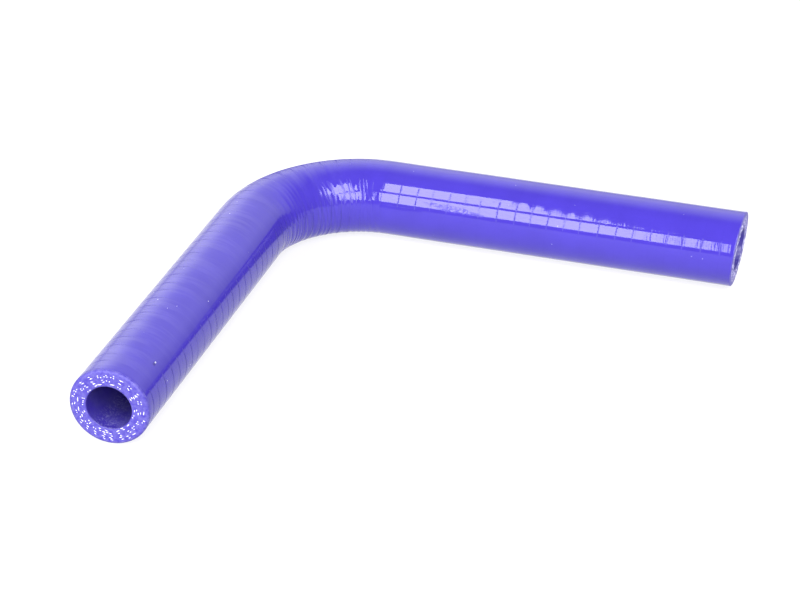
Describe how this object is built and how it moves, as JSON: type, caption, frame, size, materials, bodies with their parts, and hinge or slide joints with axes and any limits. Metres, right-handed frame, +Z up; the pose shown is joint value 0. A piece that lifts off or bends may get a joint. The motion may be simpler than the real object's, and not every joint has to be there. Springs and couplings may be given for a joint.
{
  "type": "silicone coolant hose",
  "caption": "Moulded right-angle silicone coolant hose: two straight legs, a round bore, a thick reinforced wall and square-cut open ends.",
  "frame": {"origin": "centre of the footprint, on the surface that the hose lies on", "axes": "+Z up, square to the plane of the bend; from the bend one leg runs towards -Y and the other towards +X"},
  "size_m": [0.157, 0.1538, 0.023],
  "materials": {
    "blue_silicone": "gloss",
    "polyester_thread": "matte"
  },
  "bodies": {
    "root": {"hose": "blue_silicone"}
  },
  "joints": []
}
